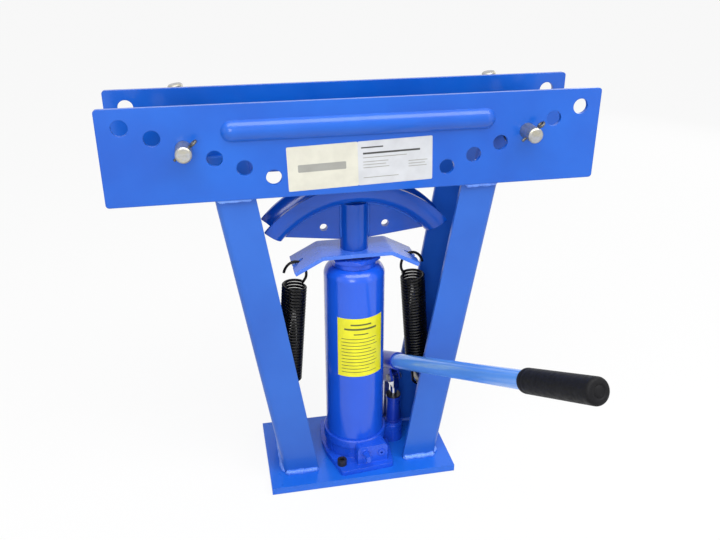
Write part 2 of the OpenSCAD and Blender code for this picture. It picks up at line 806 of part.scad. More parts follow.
module pump_cylinder() {
    foot = pedestal_top - pump_foot_h;
    color("mediumblue") pump_place() difference() {
        union() {
            cylinder_from(pump_foot_d / 2, foot, pump_top);
            cylinder_from(pump_d / 2, pedestal_top, pump_top);
            cylinder_from(pump_d / 2 + 1.5, pedestal_top, pedestal_top + 3);
        }
        translate([0, 0, foot + 2]) cylinder(r = pump_piston_d / 2 + fit, h = far);
    }
}

module pump_gland() {
    color([0.05, 0.05, 0.05]) pump_place() translate([0, 0, pump_top]) difference() {
        cylinder(r = pump_d / 2 + 1, h = gland_h);
        translate([0, 0, -1]) cylinder(r = pump_piston_d / 2 + fit, h = gland_h + 2);
    }
}

// The chrome piston ends in a flat eye for the lever's pin
module pump_piston() {
    r = pump_piston_d / 2;
    foot = pedestal_top - 10;
    color("gainsboro") pump_place() difference() {
        union() {
            cylinder_from(r, foot, eye_foot);
            translate([-eye_r, -eye_t / 2, eye_foot]) cube([2 * eye_r, eye_t, eye_pin_h]);
            translate([0, 0, lever_z]) cross_bar(eye_r, eye_t);
        }
        translate([0, 0, lever_z]) cross_bar(lever_pin_d / 2 + fit, 2 * eye_t);
    }
}

// The link: round ends, and a long hole at the top that frees the open pivot of the linkage
module link_bar() {
    foot = [link_foot_u, base_t + link_foot_z];
    head = [link_pin_u, link_pin_z];
    slack_u = 2;
    slack_z = 1;
    hole = lever_pin_d / 2 + slack_z;
    color("silver") pump_place() rotate([90, 0, 0]) linear_extrude(eye_t, center = true)
        difference() {
            union() {
                translate(foot) circle(link_end_r - 0.4);
                translate(head) circle(link_end_r);
                polygon([foot + [-link_w / 2, 0], foot + [link_w / 2, 0],
                    head + [link_w / 2, 0], head + [-link_w / 2, 0]]);
            }
            translate(foot) circle(lever_pin_d / 2 + fit);
            for (s = [-1, 1]) translate(head + [s * (slack_u - slack_z), 0]) circle(hole);
            translate(head) square([2 * (slack_u - slack_z), 2 * hole], center = true);
        }
}

// A headed pin across the lever's plane; half is the half width of what it holds
module headed_pin(half) {
    cross_bar(lever_pin_d / 2, 2 * half);
    translate([0, -half - pin_head_t / 2, 0]) cross_bar(pin_head_r, pin_head_t);
    translate([0, half + clip_t, 0]) cross_bar(lever_pin_d / 2, 2 * clip_t + 2);
}

module link_foot_pin() {
    color("silver") pump_place() translate([link_foot_u, 0, base_t + link_foot_z])
        headed_pin(ear_half + ear_t);
}

module lever_link_pin() {
    color("silver") lever_place() translate([-link_back, 0, link_up]) headed_pin(cheek_out);
}

module lever_piston_pin() {
    color("silver") lever_place() headed_pin(cheek_out);
}

// Spring clips that hold the lever's two upper pins
module lever_pin_clips() {
    color("dimgray") lever_place() for (p = [[0, 0], [-link_back, link_up]])
        translate([p.x, cheek_out + clip_t / 2, p.y]) difference() {
            cross_bar(lever_pin_d / 2 + 2.5, clip_t);
            cross_bar(lever_pin_d / 2 + fit / 2, 2 * clip_t);
        }
}

// Lever: measures below are from the piston's pin, inside lever_place

module cheek_outline() {
    top = socket_up - socket_d / 2 + 2.7;
    r = cheek_r;
    difference() {
        union() {
            circle(r);
            translate([-link_back, link_up]) circle(r);
            polygon([[r, 0], [r, top], [-link_back - r, top], [-link_back - r, link_up],
                [-link_back, link_up - r], [0, -r]]);
        }
        circle(lever_pin_d / 2 + fit / 2);
        translate([-link_back, link_up]) circle(lever_pin_d / 2 + fit / 2);
    }
}

module handle_socket() {
    color("mediumblue") lever_place() difference() {
        union() {
            translate([socket_mouth - socket_l, 0, socket_up]) rotate([0, 90, 0])
                cylinder(r = socket_d / 2, h = socket_l);
            for (s = [-1, 1]) translate([0, s * (cheek_out - cheek_t / 2), 0]) rotate([90, 0, 0])
                linear_extrude(cheek_t, center = true) cheek_outline();
        }
        translate([socket_mouth - socket_l + socket_end_t, 0, socket_up]) rotate([0, 90, 0])
            cylinder(r = socket_bore_r, h = far);
    }
}

module handle_tube() {
    inner = socket_mouth - socket_l + socket_end_t;
    outer = handle_reach - grip_end_t;
    color("royalblue") lever_place() translate([inner, 0, socket_up]) rotate([0, 90, 0])
        difference() {
            cylinder(r = handle_d / 2, h = outer - inner);
            translate([0, 0, -1]) cylinder(r = handle_d / 2 - handle_wall, h = outer - inner + 2);
        }
}

module handle_grip() {
    r = grip_d / 2;
    e = grip_edge_r;
    inner = handle_reach - grip_l;
    color([0.06, 0.06, 0.07]) lever_place() translate([inner, 0, socket_up]) rotate([0, 90, 0])
        rotate_extrude() difference() {
            union() {
                square([r - 1, grip_l - e]);
                translate([0, 1]) square([r, grip_l - e - 1]);
                square([r - e, grip_l]);
                translate([r - e, grip_l - e]) circle(e);
            }
            translate([-far, -far]) square([far, 2 * far]);
            translate([0, -1]) square([handle_d / 2, grip_l - grip_end_t + 1]);
        }
}

// Bending die: a half-round groove bent along an arc, a web and a socket for the ram's spigot

module groove_section() {
    difference() {
        union() {
            translate([groove_c, 0]) circle(groove_out);
            translate([groove_c, -groove_out]) square([groove_side, 2 * groove_out]);
        }
        translate([groove_c, 0]) circle(groove_r);
        translate([groove_c, -groove_r]) square([far, 2 * groove_r]);
        translate([die_lip_r, -far]) square([far, 2 * far]);
    }
}

module die_web() {
    inner_x = die_socket_d / 2;
    z_in = die_foot + web_in_h;
    z_out = die_foot + web_out_h;
    slope = (z_out - z_in) / (web_out_x - inner_x);
    end_x = web_out_x + 12;
    end_z = z_out + 12 * slope;
    rotate([90, 0, 0]) linear_extrude(web_t, center = true) intersection() {
        translate([0, bend_z]) circle(groove_c - groove_out + 1.5, $fn = 128);
        polygon([[-end_x, end_z], [-inner_x, z_in], [inner_x, z_in], [end_x, end_z],
            [end_x, die_foot + die_h], [-end_x, die_foot + die_h]]);
    }
}

module bending_die() {
    color("royalblue") difference() {
        union() {
            translate([0, 0, bend_z]) rotate([90, 0, 0]) rotate([0, 0, 90 - die_half_angle])
                rotate_extrude(angle = 2 * die_half_angle, $fn = 180) groove_section();
            die_web();
            cylinder_from(die_socket_d / 2, die_foot, bend_z + groove_c - groove_out + 1.5);
        }
        translate([0, 0, die_foot - 1]) cylinder(r = spigot_d / 2 + fit, h = spigot_h + 2);
        for (s = [-1, 1]) translate([s * web_hole_x, 0, die_foot + web_hole_h])
            cross_bar(web_hole_d / 2, 2 * web_t);
    }
}

// Spring bracket: a flat bar with its ends bent down and notched

// A slot that the hook comes up through, and a mouth on one side of it, seen from above
module notch_outline() {
    slot_l = 9.4;
    mouth = 10.5;
    translate([-notch_lip - slot_l, 0]) circle(notch_w / 2);
    translate([-notch_lip - slot_l, -notch_w / 2]) square([slot_l, notch_w]);
    polygon([[-notch_lip - slot_l, -notch_w / 2 + 0.1], [2, -mouth], [2, -notch_w / 2 + 0.3],
        [-notch_lip, -notch_w / 2 + 0.3]]);
}

// The bracket's side view on one side, from the middle of its top round to the middle below
function bracket_half() = let (t = bracket_t, r = bracket_bend_r,
    bend_x = bracket_flat - r * tan(bracket_slope / 2), ex = bracket_end, ez = -bracket_drop,
    turn = [for (k = [0 : 6]) bracket_slope * k / 6]) concat(
    [for (a = turn) [bend_x + r * sin(a), r * cos(a) - r]],
    [[ex, ez], [ex - t * sin(bracket_slope), ez - t * cos(bracket_slope)]],
    [for (k = [6 : -1 : 0]) [bend_x + (r - t) * sin(turn[k]), (r - t) * cos(turn[k]) - r]]);

module spring_bracket() {
    t = bracket_t;
    half = bracket_half();
    color("royalblue") translate([0, 0, bracket_top]) difference() {
        rotate([90, 0, 0]) linear_extrude(bracket_w, center = true)
            polygon(concat(half, [for (k = [len(half) - 1 : -1 : 0]) [-half[k][0], half[k][1]]]));
        translate([0, 0, -2 * t]) cylinder(r = spigot_d / 2 + fit, h = 4 * t);
        both_sides() translate([bracket_end, 0, -bracket_drop]) rotate([0, bracket_slope, 0])
            translate([0, 0, -2 * t]) linear_extrude(3 * t) notch_outline();
    }
}

// Springs: one round wire from hook to hook. Lengths run along the spring from the lower hook's
// centre. A sample is a point and the outward direction there.

spring_l = norm([hook_low_x - hook_top_x, hook_top_z - hook_low_z]);
spring_lean = atan((hook_low_x - hook_top_x) / (hook_top_z - hook_low_z));
coil_steps = 8;
wire_sides = 6;
neck_r = 7;
turn_low = neck_r / hook_low_r * 180 / PI;
turn_top = 50;
hook_top_last = 210;
hook_step = 20;
hook_end = 10;
neck_step = 30;
taper = 0.5;
coil_low = neck_low;
coil_high = spring_l - neck_top;
coil_n = floor((coil_high - coil_low) / (wire_d + coil_gap));
coil_angle = 360 * coil_n - turn_low - turn_top;

// On a hook's ring of radius r, in the plane of X and Z, about a centre at height z
function ring_at(a, r, z) = [[r * cos(a), 0, z + r * sin(a)], [cos(a), 0, sin(a)]];

// On the upper hook, an egg shape that is higher above its centre than it is deep below
function hook_top_at(a) = let (h = a > 180 ? hook_top_depth : hook_top_h)
    [[coil_r * cos(a), 0, spring_l + h * sin(a)], [cos(a), 0, sin(a)]];

// On a cylinder of radius r, at a bearing and a height
function coil_at(a, r, z) = [[r * cos(a), r * sin(a), z], [cos(a), sin(a), 0]];

// The quarter bend from the straight neck into the first coil, unrolled on the cylinder
function neck_low_at(q) = coil_at(180 + turn_low * (1 - cos(q)), hook_low_r,
    coil_low - neck_r * (1 - sin(q)));

// The curve from the upper hook's lower end into the last coil: q runs from 0 on the coil to 1
function neck_top_at(q) = let (a = 180 - turn_top, b = hook_top_last, pull = 6,
    p0 = coil_at(a, coil_r, coil_high)[0], d0 = [-sin(a), cos(a), 0],
    p3 = hook_top_at(b)[0], way = [-coil_r * sin(b), 0, hook_top_depth * cos(b)],
    p1 = p0 + pull * d0, p2 = p3 + pull * way / norm(way), m = 1 - q,
    p = m * m * m * p0 + 3 * m * m * q * p1 + 3 * m * q * q * p2 + q * q * q * p3)
    [p, [cos(a) * m + cos(b) * q, sin(a) * m, sin(b) * q]];

// The coils open from the lower hook's radius over part of the first turn
function coil_sample(i, n) = coil_at(180 + turn_low + coil_angle * i / n,
    hook_low_r + (coil_r - hook_low_r) * min(1, i / coil_steps / taper),
    coil_low + (coil_high - coil_low) * i / n);

spring_path = let (n = round(coil_angle / 360 * coil_steps)) concat(
    [for (a = [hook_end : -hook_step : -170]) ring_at(a, hook_low_r, 0)],
    [ring_at(-180, hook_low_r, 0)],
    [for (q = [0 : neck_step : 60]) neck_low_at(q)],
    [for (i = [0 : n]) coil_sample(i, n)],
    [for (q = [0.2 : 0.2 : 0.8]) neck_top_at(q)],
    [for (a = [hook_top_last : -hook_step : hook_end]) hook_top_at(a)]);

function tangent(path, i) = let (last = len(path) - 1,
    d = path[min(i + 1, last)][0] - path[max(i - 1, 0)][0]) d / norm(d);

function ring_points(path, i) = let (t = tangent(path, i), b = cross(t, path[i][1]),
    side = b / norm(b), out = cross(side, t))
    [for (k = [0 : wire_sides - 1]) let (a = 360 * k / wire_sides)
        path[i][0] + wire_d / 2 * (cos(a) * out + sin(a) * side)];

// The least clear distance between turns, measured on the path's points
function least_gap(path, skip) = min([for (i = [0 : len(path) - skip - 1])
    min([for (j = [i + skip : len(path) - 1]) norm(path[j][0] - path[i][0])])]) - wire_d;

module wire(path) {
    n = len(path);
    m = wire_sides;
    points = [for (i = [0 : n - 1]) each ring_points(path, i)];
    sides = [for (i = [0 : n - 2], k = [0 : m - 1]) let (a = i * m + k, b = i * m + (k + 1) % m)
        each [[a, b, b + m], [a, b + m, a + m]]];
    ends = [for (k = [1 : m - 2]) each [[0, k + 1, k],
        [(n - 1) * m, (n - 1) * m + k, (n - 1) * m + k + 1]]];
    polyhedron(points, concat(sides, ends), convexity = 10);
}

module spring() {
    color([0.05, 0.05, 0.05]) translate([hook_low_x, 0, hook_low_z])
        rotate([0, -spring_lean, 0]) wire(spring_path);
}

module left_spring() { mirror([1, 0, 0]) spring(); }
module right_spring() { spring(); }

echo(least_gap_between_coils = least_gap(spring_path, 5));

base_plate();
left_leg();
right_leg();
front_beam_plate();
rear_beam_plate();
left_spring_rod();
right_spring_rod();
left_roller();
right_roller();
left_roller_pin();
right_roller_pin();
left_cotter();
right_cotter();
jack_casting();
jack_tank();
pressure_cylinder();
top_nut();
ram_wiper();
jack_ram();
ram_seal();
foot_bolts();
release_valve();
safety_valve_plug();
filler_plug();
pump_cylinder();
pump_gland();
pump_piston();
link_bar();
link_foot_pin();
lever_link_pin();
lever_piston_pin();
lever_pin_clips();
handle_socket();
handle_tube();
handle_grip();
bending_die();
spring_bracket();
left_spring();
right_spring();
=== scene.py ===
"""Looks of the hydraulic pipe bender: paint, plated steel, rubber, welds, labels and wound springs.

Lengths are metres in the model's own frame: +Z up, -Y towards the operator.
"""
import math

import bpy
from mathutils import Matrix, Vector, noise

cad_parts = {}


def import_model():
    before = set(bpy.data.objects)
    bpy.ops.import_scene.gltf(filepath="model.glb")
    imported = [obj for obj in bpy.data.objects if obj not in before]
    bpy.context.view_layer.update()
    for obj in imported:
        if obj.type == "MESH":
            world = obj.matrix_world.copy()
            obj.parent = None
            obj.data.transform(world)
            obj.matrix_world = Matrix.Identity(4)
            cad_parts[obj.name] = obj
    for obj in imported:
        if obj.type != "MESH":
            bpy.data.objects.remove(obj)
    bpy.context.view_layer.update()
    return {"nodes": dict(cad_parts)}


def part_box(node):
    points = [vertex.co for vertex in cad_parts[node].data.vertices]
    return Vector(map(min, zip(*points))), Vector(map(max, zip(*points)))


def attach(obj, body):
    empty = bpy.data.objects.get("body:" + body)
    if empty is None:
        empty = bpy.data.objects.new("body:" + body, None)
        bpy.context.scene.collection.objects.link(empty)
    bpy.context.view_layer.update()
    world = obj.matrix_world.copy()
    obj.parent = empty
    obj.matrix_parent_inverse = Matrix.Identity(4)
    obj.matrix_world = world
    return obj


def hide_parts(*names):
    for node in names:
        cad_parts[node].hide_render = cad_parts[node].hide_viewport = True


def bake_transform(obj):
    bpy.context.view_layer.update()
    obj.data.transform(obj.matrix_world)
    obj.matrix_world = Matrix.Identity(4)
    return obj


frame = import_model()
NODES = frame["nodes"]
MM = 0.001


# Materials

def linear(rgb):
    """sRGB values from 0 to 255 as linear colour."""
    out = []
    for v in rgb:
        c = v / 255.0
        out.append(c / 12.92 if c <= 0.04045 else ((c + 0.055) / 1.055) ** 2.4)
    return tuple(out) + (1.0,)


class Nodes:
    """A new material with short calls for its nodes."""

    def __init__(self, name):
        self.mat = bpy.data.materials.new(name)
        self.mat.use_nodes = True
        self.tree = self.mat.node_tree
        self.tree.nodes.clear()
        self.out = self.add("ShaderNodeOutputMaterial")
        self.shader = self.add("ShaderNodeBsdfPrincipled")
        self.link(self.shader.outputs[0], self.out.inputs[0])
        self.coords = self.add("ShaderNodeTexCoord").outputs["Object"]

    def add(self, kind, **values):
        """A new node with its own properties set."""
        node = self.tree.nodes.new(kind)
        for key, value in values.items():
            setattr(node, key, value)
        return node

    def link(self, a, b):
        """Joins an output to an input."""
        self.tree.links.new(a, b)

    def set(self, **values):
        """Constants on the shader's own sockets; _ in a name stands for a space."""
        for key, value in values.items():
            self.shader.inputs[key.replace("_", " ")].default_value = value

    def stretch(self, scale):
        """Coordinates scaled by a different factor on each axis."""
        node = self.add("ShaderNodeMapping")
        node.inputs["Scale"].default_value = scale
        self.link(self.coords, node.inputs["Vector"])
        return node.outputs[0]

    def noise(self, scale, detail=3.0, rough=0.5, at=None):
        """Noise from 0 to 1, with scale in cells per metre."""
        node = self.add("ShaderNodeTexNoise")
        node.inputs["Scale"].default_value = scale
        node.inputs["Detail"].default_value = detail
        node.inputs["Roughness"].default_value = rough
        self.link(at or self.coords, node.inputs["Vector"])
        return node.outputs["Fac"]

    def spread(self, value, low, high, out_low, out_high):
        """Maps low..high to out_low..out_high."""
        node = self.add("ShaderNodeMapRange")
        for key, v in (("From Min", low), ("From Max", high), ("To Min", out_low), ("To Max", out_high)):
            node.inputs[key].default_value = v
        self.link(value, node.inputs["Value"])
        return node.outputs[0]

    def above(self, z):
        """One above height z and zero below it, with a narrow blend."""
        node = self.add("ShaderNodeSeparateXYZ")
        self.link(self.coords, node.inputs[0])
        return self.spread(node.outputs["Z"], z - 0.0002, z + 0.0002, 0.0, 1.0)

    def mix(self, fac, a, b):
        """Colour a at 0 and b at 1; each is a colour or an output."""
        node = self.add("ShaderNodeMix", data_type="RGBA")
        self.link(fac, node.inputs[0])
        for value, slot in ((a, 6), (b, 7)):
            if isinstance(value, tuple):
                node.inputs[slot].default_value = value
            else:
                self.link(value, node.inputs[slot])
        return node.outputs[2]

    def bump(self, height, distance, strength=1.0, before=None):
        """A bumped normal, on top of the normal before."""
        node = self.add("ShaderNodeBump")
        node.inputs["Distance"].default_value = distance
        node.inputs["Strength"].default_value = strength
        self.link(height, node.inputs["Height"])
        if before is not None:
            self.link(before, node.inputs["Normal"])
        return node.outputs[0]

    def round_edges(self, radius):
        """A normal that rounds sharp edges."""
        node = self.add("ShaderNodeBevel", samples=4)
        node.inputs["Radius"].default_value = radius
        return node.outputs[0]

    def normal(self, value):
        """Links the shader's normal."""
        self.link(value, self.shader.inputs["Normal"])

    def colour(self, value):
        """Links the shader's base colour."""
        self.link(value, self.shader.inputs["Base Color"])

    def roughness(self, value):
        """Links the shader's roughness."""
        self.link(value, self.shader.inputs["Roughness"])


BLACK_BAND = (20, 20, 24)


def paint(name, rgb, deep, rough=0.3, edge=0.0009, peel=0.6, gloss=0.4, coat=0.2, band=None):
    """Sprayed gloss paint: soft cloudy colour, orange peel and rounded edges that catch light.

    band is the height above which the surface is black rubber.
    """
    n = Nodes(name)
    cloud = n.spread(n.noise(9.0, 4.0), 0.35, 0.68, 0.0, 1.0)
    colour = n.mix(cloud, linear(deep), linear(rgb))
    if band is not None:
        colour = n.mix(n.above(band), colour, linear(BLACK_BAND))
    n.colour(colour)
    n.roughness(n.spread(n.noise(60.0, 3.0), 0.3, 0.7, rough - 0.05, rough + 0.07))
    n.normal(n.bump(n.noise(260.0, 2.0), 0.00006 * peel, 1.0, n.round_edges(edge)))
    n.set(Coat_Weight=coat, Coat_Roughness=0.12, IOR=1.5, Specular_IOR_Level=gloss)
    return n.mat


def plated(name, rgb, tint, rough, along=(1.0, 1.0, 1.0)):
    """Bright zinc plate: fine turning marks and a faint yellow and violet tint."""
    n = Nodes(name)
    hue = n.spread(n.noise(130.0, 3.0), 0.38, 0.62, 0.0, 1.0)
    stain = n.spread(n.noise(420.0, 4.0), 0.45, 0.7, 0.0, 0.55)
    base = n.mix(hue, linear(rgb), linear(tint))
    n.colour(n.mix(stain, base, linear((150, 148, 140))))
    lines = n.noise(900.0, 2.0, 0.6, n.stretch(along))
    n.roughness(n.spread(lines, 0.3, 0.7, rough - 0.08, rough + 0.12))
    n.normal(n.bump(lines, 0.00002, 0.8, n.round_edges(0.0005)))
    n.set(Metallic=0.95)
    return n.mat


def polished(name, rgb, rough):
    """Ground or chromed steel with faint rings round its axis."""
    n = Nodes(name)
    n.colour(n.mix(n.noise(40.0, 2.0), linear(rgb), linear(tuple(v * 0.93 for v in rgb))))
    lines = n.noise(700.0, 2.0, 0.5, n.stretch((1.0, 1.0, 14.0)))
    n.roughness(n.spread(lines, 0.3, 0.7, rough, rough + 0.05))
    n.normal(n.bump(lines, 0.000006, 0.6, n.round_edges(0.0005)))
    n.set(Metallic=1.0)
    return n.mat


def black_coat(name, rgb=(22, 22, 24), rough=0.34, wear=(58, 58, 60), gloss=0.4):
    """Black enamel on steel, dusted in patches with the grey of wear."""
    n = Nodes(name)
    dust = n.spread(n.noise(150.0, 4.0), 0.4, 0.75, 0.0, 0.35)
    n.colour(n.mix(dust, linear(rgb), linear(wear)))
    n.roughness(n.spread(n.noise(300.0, 3.0), 0.3, 0.7, rough - 0.05, rough + 0.12))
    n.normal(n.bump(n.noise(700.0, 2.0), 0.00003, 1.0, n.round_edges(0.0005)))
    n.set(IOR=1.5, Specular_IOR_Level=gloss)
    return n.mat


def rubber(name, rgb, rough=0.55):
    """Moulded rubber: a fine grain and a dull, slightly dusty sheen."""
    n = Nodes(name)
    dust = n.spread(n.noise(55.0, 5.0), 0.35, 0.75, 0.0, 0.7)
    n.colour(n.mix(dust, linear(rgb), linear(tuple(v * 1.45 for v in rgb))))
    n.roughness(n.spread(n.noise(240.0, 4.0), 0.3, 0.7, rough - 0.08, rough + 0.12))
    grain = n.bump(n.noise(1500.0, 3.0), 0.00005, 1.0, n.round_edges(0.0006))
    n.normal(n.bump(n.noise(180.0, 2.0), 0.00006, 0.7, grain))
    n.set(IOR=1.5, Specular_IOR_Level=0.18)
    return n.mat


def sticker(name, rgb):
    """Printed vinyl: almost even, with a faint mottle and small creases."""
    rough = 0.38
    n = Nodes(name)
    mottle = n.spread(n.noise(70.0, 4.0), 0.35, 0.7, 0.0, 1.0)
    n.colour(n.mix(mottle, linear(rgb), linear(tuple(v * 0.95 for v in rgb))))
    n.roughness(n.spread(n.noise(120.0, 2.0), 0.3, 0.7, rough - 0.06, rough + 0.06))
    n.normal(n.bump(n.noise(90.0, 2.0), 0.00005, 0.8))
    n.set(Coat_Weight=0.2, Coat_Roughness=0.2)
    return n.mat


GLAND_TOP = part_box("pump_gland")[1][2]
GLAND_BAND = 0.0022

FRAME_BLUE = paint("frame_blue", (7, 93, 198), (4, 81, 184), rough=0.36, edge=0.0014, gloss=0.3, coat=0.5)
LEG_BLUE = paint("leg_blue", (33, 97, 194), (27, 87, 182), rough=0.34, edge=0.0012, gloss=0.42)
BASE_BLUE = paint("base_blue", (24, 104, 214), (18, 92, 200), rough=0.32, gloss=0.3, coat=0.3)
DIE_BLUE = paint("die_blue", (6, 78, 184), (4, 66, 164), rough=0.2, peel=1.2, gloss=0.4, edge=0.0014)
# Paler than the frame paint: a painted highlight that stands in for the sheen on the bracket's broad
# flats.
BRACKET_BLUE_PAINTED_HIGHLIGHT = paint("bracket_blue_painted_highlight", (64, 118, 222), (56, 106, 210), rough=0.24, gloss=0.6)
CAST_BLUE = paint("cast_blue", (30, 88, 216), (22, 72, 196), rough=0.26, peel=2.2, edge=0.0016)
TANK_BLUE = paint("tank_blue", (24, 88, 214), (18, 80, 204), rough=0.2, peel=0.5, gloss=0.45, coat=0.3)
# Much paler than the frame paint: a painted highlight that stands in for the broad sheen along the handle
# tube.
TUBE_BLUE_PAINTED_HIGHLIGHT = paint("tube_blue_painted_highlight", (94, 152, 230), (84, 142, 224), rough=0.17, peel=0.4, gloss=0.6)
DARK_BLUE = paint("dark_blue", (24, 62, 180), (18, 48, 158), rough=0.3, peel=1.2)
GLAND_BLUE = paint("gland_blue", (24, 62, 180), (18, 48, 158), rough=0.3, band=GLAND_TOP - GLAND_BAND)
# Paler than the frame paint: a painted highlight on the weld beads round and inside the feet.
WELD_BLUE_PAINTED_HIGHLIGHT = paint("weld_blue_painted_highlight", (104, 152, 238), (66, 118, 220), rough=0.3, peel=5.0, gloss=0.6)
# Palest of the blues: a painted highlight on the beads under the beams, which sit in shade and are
# lightened so they look lit.
WELD_PALEST_PAINTED_HIGHLIGHT = paint("weld_palest_painted_highlight", (124, 170, 244), (60, 112, 220), rough=0.3, peel=5.0, gloss=0.6)
ZINC = plated("zinc", (176, 178, 184), (180, 176, 160), 0.4, (1.0, 0.08, 1.0))
ZINC_BAR = plated("zinc_bar", (204, 206, 214), (196, 196, 214), 0.32, (1.0, 1.0, 0.1))
DARK_WIRE = plated("cotter_wire", (92, 92, 94), (80, 78, 74), 0.42)
CHROME = polished("chrome_rod", (220, 222, 226), 0.08)
GROUND = polished("ground_steel", (190, 192, 196), 0.25)
BLACK = black_coat("black_enamel")
SPRING_BLACK = black_coat("spring_enamel", (5, 5, 6), 0.2, wear=(14, 14, 15), gloss=0.2)
BLACK_STEEL = black_coat("black_oxide", (26, 24, 24), 0.42)
RUBBER = rubber("grip_rubber", (11, 11, 14))
SEAL = rubber("seal_rubber", (24, 24, 26), 0.5)
CREAM = sticker("label_cream", (206, 204, 190))
GREY_PAPER = sticker("label_grey", (196, 198, 202))
YELLOW = sticker("label_yellow", (228, 224, 16))
INK = sticker("label_ink", (62, 62, 60))
PALE_INK = sticker("label_pale_ink", (150, 150, 144))
DARK_INK = sticker("label_dark_ink", (84, 88, 30))

LOOKS = {
    FRAME_BLUE: ("front_beam_plate", "rear_beam_plate"),
    LEG_BLUE: ("left_leg", "right_leg"),
    BASE_BLUE: ("base_plate",),
    DIE_BLUE: ("bending_die",),
    BRACKET_BLUE_PAINTED_HIGHLIGHT: ("spring_bracket",),
    CAST_BLUE: ("jack_casting", "release_valve", "safety_valve_plug", "top_nut"),
    TANK_BLUE: ("jack_tank",),
    DARK_BLUE: ("pump_cylinder", "handle_socket"),
    GLAND_BLUE: ("pump_gland",),
    TUBE_BLUE_PAINTED_HIGHLIGHT: ("handle_tube",),
    ZINC: ("left_spring_rod", "right_spring_rod", "left_roller_pin", "right_roller_pin",
           "link_foot_pin", "lever_link_pin", "lever_piston_pin"),
    DARK_WIRE: ("left_cotter", "right_cotter"),
    ZINC_BAR: ("link_bar",),
    CHROME: ("jack_ram", "pump_piston"),
    GROUND: ("pressure_cylinder",),
    BLACK: ("left_roller", "right_roller"),
    SPRING_BLACK: ("left_spring", "right_spring"),
    BLACK_STEEL: ("foot_bolts", "lever_pin_clips"),
    SEAL: ("ram_wiper", "ram_seal", "filler_plug"),
    RUBBER: ("handle_grip",),
}
for look, names in LOOKS.items():
    for node_name in names:
        mesh = NODES[node_name].data
        mesh.materials.clear()
        mesh.materials.append(look)


# Mesh helpers

def add_mesh(name, verts, faces, look, smooth=True):
    """A new piece with one material."""
    mesh = bpy.data.meshes.new(name)
    mesh.from_pydata([tuple(v) for v in verts], [], faces)
    mesh.validate()
    mesh.update()
    if smooth:
        mesh.polygons.foreach_set("use_smooth", [True] * len(mesh.polygons))
    mesh.materials.append(look)
    piece = bpy.data.objects.new(name, mesh)
    bpy.context.scene.collection.objects.link(piece)
    return piece


def tube_faces(rings, sides):
    """Faces of a closed tube whose vertices are rings of so many sides each."""
    faces = []
    for i in range(rings - 1):
        for k in range(sides):
            a = i * sides + k
            b = i * sides + (k + 1) % sides
            faces.append((a, b, b + sides, a + sides))
    faces.append(tuple(reversed(range(sides))))
    faces.append(tuple(range((rings - 1) * sides, rings * sides)))
    return faces


def sweep(points, sizes, sides, up=Vector((0.0, 0.0, 1.0))):
    """Vertices and faces of a closed tube along the points; sizes holds one radius per point."""
    verts = []
    count = len(points)
    out = None
    for i, p in enumerate(points):
        ahead = points[min(i + 1, count - 1)] - points[max(i - 1, 0)]
        ahead.normalize()
        if out is None:
            out = up - ahead * up.dot(ahead)
            if out.length < 1e-6:
                out = Vector((1.0, 0.0, 0.0)) - ahead * ahead.x
        else:
            out = out - ahead * out.dot(ahead)
        out.normalize()
        side = ahead.cross(out)
        for k in range(sides):
            a = 2.0 * math.pi * k / sides
            verts.append(p + sizes[i] * (math.cos(a) * out + math.sin(a) * side))
    return verts, tube_faces(count, sides)


def lathe(name, outline, place, look, sides):
    """Turns (radius, height) points about local Z and places the result."""
    verts = []
    for r, z in outline:
        for k in range(sides):
            a = 2.0 * math.pi * k / sides
            verts.append(place @ Vector((r * math.cos(a), r * math.sin(a), z)))
    return add_mesh(name, verts, tube_faces(len(outline), sides), look)


RIPPLE = 0.0022
LUMPS = 160.0
WANDER = 90.0


def bead(name, start, end, radius, look, seed):
    """A weld bead: overlapping ripples that swell and wander a little."""
    start = Vector(start)
    end = Vector(end)
    run = (end - start).length
    count = max(8, int(run / RIPPLE * 4))
    points = []
    sizes = []
    for i in range(count + 1):
        t = i / count
        s = t * run
        lump = noise.noise(Vector((s * LUMPS, seed, 0.3)))
        ripple = abs(math.sin(math.pi * s / RIPPLE))
        closing = min(1.0, math.sin(math.pi * min(max(t, 0.02), 0.98)) * 6.0)
        sizes.append(radius * (0.82 + 0.2 * ripple + 0.32 * lump) * closing)
        drift = Vector([noise.noise(Vector((s * WANDER, seed, row))) for row in (5.0, 9.0, 13.0)])
        points.append(start.lerp(end, t) + drift * radius * 0.22)
    verts, faces = sweep(points, sizes, 12)
    return add_mesh(name, verts, faces, look)


# Welds on the frame

LEG_FOOT_X = 0.107
LEG_TOP_X = 0.1715
LEG_RISE = 0.402
LEG_TOP_Z = 0.412
LEG_WIDTH = 0.0474
BASE_TOP = 0.010
LEG_SLOPE = (LEG_TOP_X - LEG_FOOT_X) / LEG_RISE
FOOT_WELD_Z = 0.0112
INNER_WELD_Z = 0.0104


def leg_x(z):
    """Outer face of a leg at height z."""
    return LEG_FOOT_X + LEG_SLOPE * (z - BASE_TOP)


